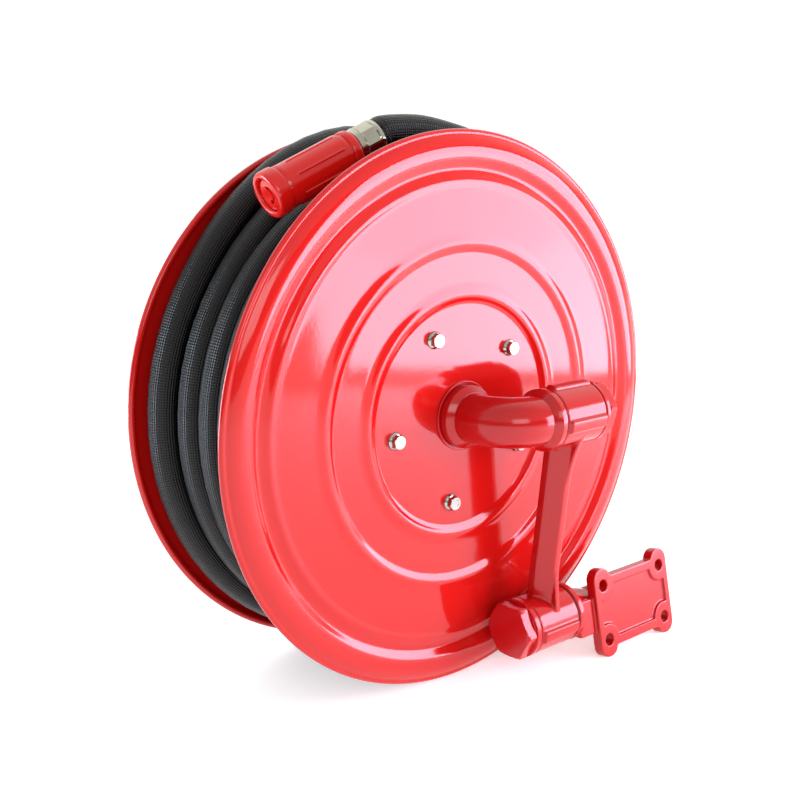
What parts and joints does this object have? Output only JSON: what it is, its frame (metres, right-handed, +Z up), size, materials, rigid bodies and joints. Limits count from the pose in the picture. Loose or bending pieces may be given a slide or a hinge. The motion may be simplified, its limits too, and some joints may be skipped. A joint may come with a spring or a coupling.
{
  "type": "fire hose reel",
  "caption": "Swinging fire hose reel: pressed discs on a bolted drum core, hollow spindle, waterway elbow, arm and bracket, wound hose and twist nozzle.",
  "frame": {"origin": "middle of the footprint box at floor level; the two disc rims and the bracket's lower ears stand on z = 0", "axes": "+Z up; -Y out of the front disc towards the swing arm; +X from the hub towards the wall bracket. The drum turns about Y, both swivels about X"},
  "size_m": [0.56, 0.2874, 0.5741],
  "materials": {
    "red_sheet": "gloss red powder coat",
    "red_casting": "moulded gloss red",
    "red_cap": "moulded gloss red",
    "red_nozzle": "moulded satin red",
    "hose": "black rubber with a faint cloth impression",
    "seal": "black nitrile",
    "nylon": "natural nylon",
    "brass": "machined brass",
    "zinc": "bright zinc plate",
    "nickel": "pale nickel plate"
  },
  "bodies": {
    "bracket": {"wall_bracket": "red_casting", "lower_hex_cap": "red_cap", "lower_thrust_washer": "nylon", "lower_o_ring_left": "seal", "lower_o_ring_right": "seal"},
    "arm": {"swing_arm": "red_casting"},
    "elbow": {"inlet_elbow": "red_casting", "upper_hex_cap": "red_cap", "upper_thrust_washer": "nylon", "upper_o_ring_left": "seal", "upper_o_ring_right": "seal", "hub_spindle": "brass", "spindle_o_ring_front": "seal", "spindle_o_ring_rear": "seal", "spindle_circlip": "zinc"},
    "drum": {"hub_body": "zinc", "rear_hub_flange": "zinc", "front_bush": "nylon", "rear_bush": "nylon", "rear_thrust_washer": "nylon", "front_disc": "red_sheet", "rear_disc": "red_sheet", "core_front": "red_sheet", "core_rear": "red_sheet", "front_dust_ring": "red_cap", "rear_hub_cap": "red_cap", "outlet_elbow": "brass", "hose_clamp": "zinc", "hose_coil": "hose", "hose_tail": "hose", "hose_ferrule": "nickel", "nozzle_stem": "brass", "nozzle_o_ring": "seal", "front_bolt_1": "zinc", "front_bolt_2": "zinc", "front_bolt_3": "zinc", "front_bolt_4": "zinc", "front_bolt_5": "zinc", "rear_bolt_1": "zinc", "rear_bolt_2": "zinc", "rear_bolt_3": "zinc", "rear_bolt_4": "zinc", "rear_bolt_5": "zinc"},
    "nozzle_sleeve_body": {"nozzle_sleeve": "red_nozzle"}
  },
  "joints": [
    {"name": "lower_swivel", "type": "hinge", "parent": "bracket", "child": "arm", "pos_m": [0.08, -0.0833, 0.051], "axis": [1, 0, 0], "range_deg": [-100, 60]},
    {"name": "upper_swivel", "type": "hinge", "parent": "arm", "child": "elbow", "pos_m": [0.08, -0.1093, 0.28], "axis": [1, 0, 0], "range_deg": [0, 180]},
    {"name": "reel_spin", "type": "hinge", "parent": "elbow", "child": "drum", "pos_m": [0, 0.0427, 0.28], "axis": [0, 1, 0], "continuous": true},
    {"name": "nozzle_twist", "type": "hinge", "parent": "drum", "child": "nozzle_sleeve_body", "pos_m": [-0.092, 0.0137, 0.5397], "axis": [-0.9087, 0.079, -0.4099], "range_deg": [0, 270]}
  ]
}
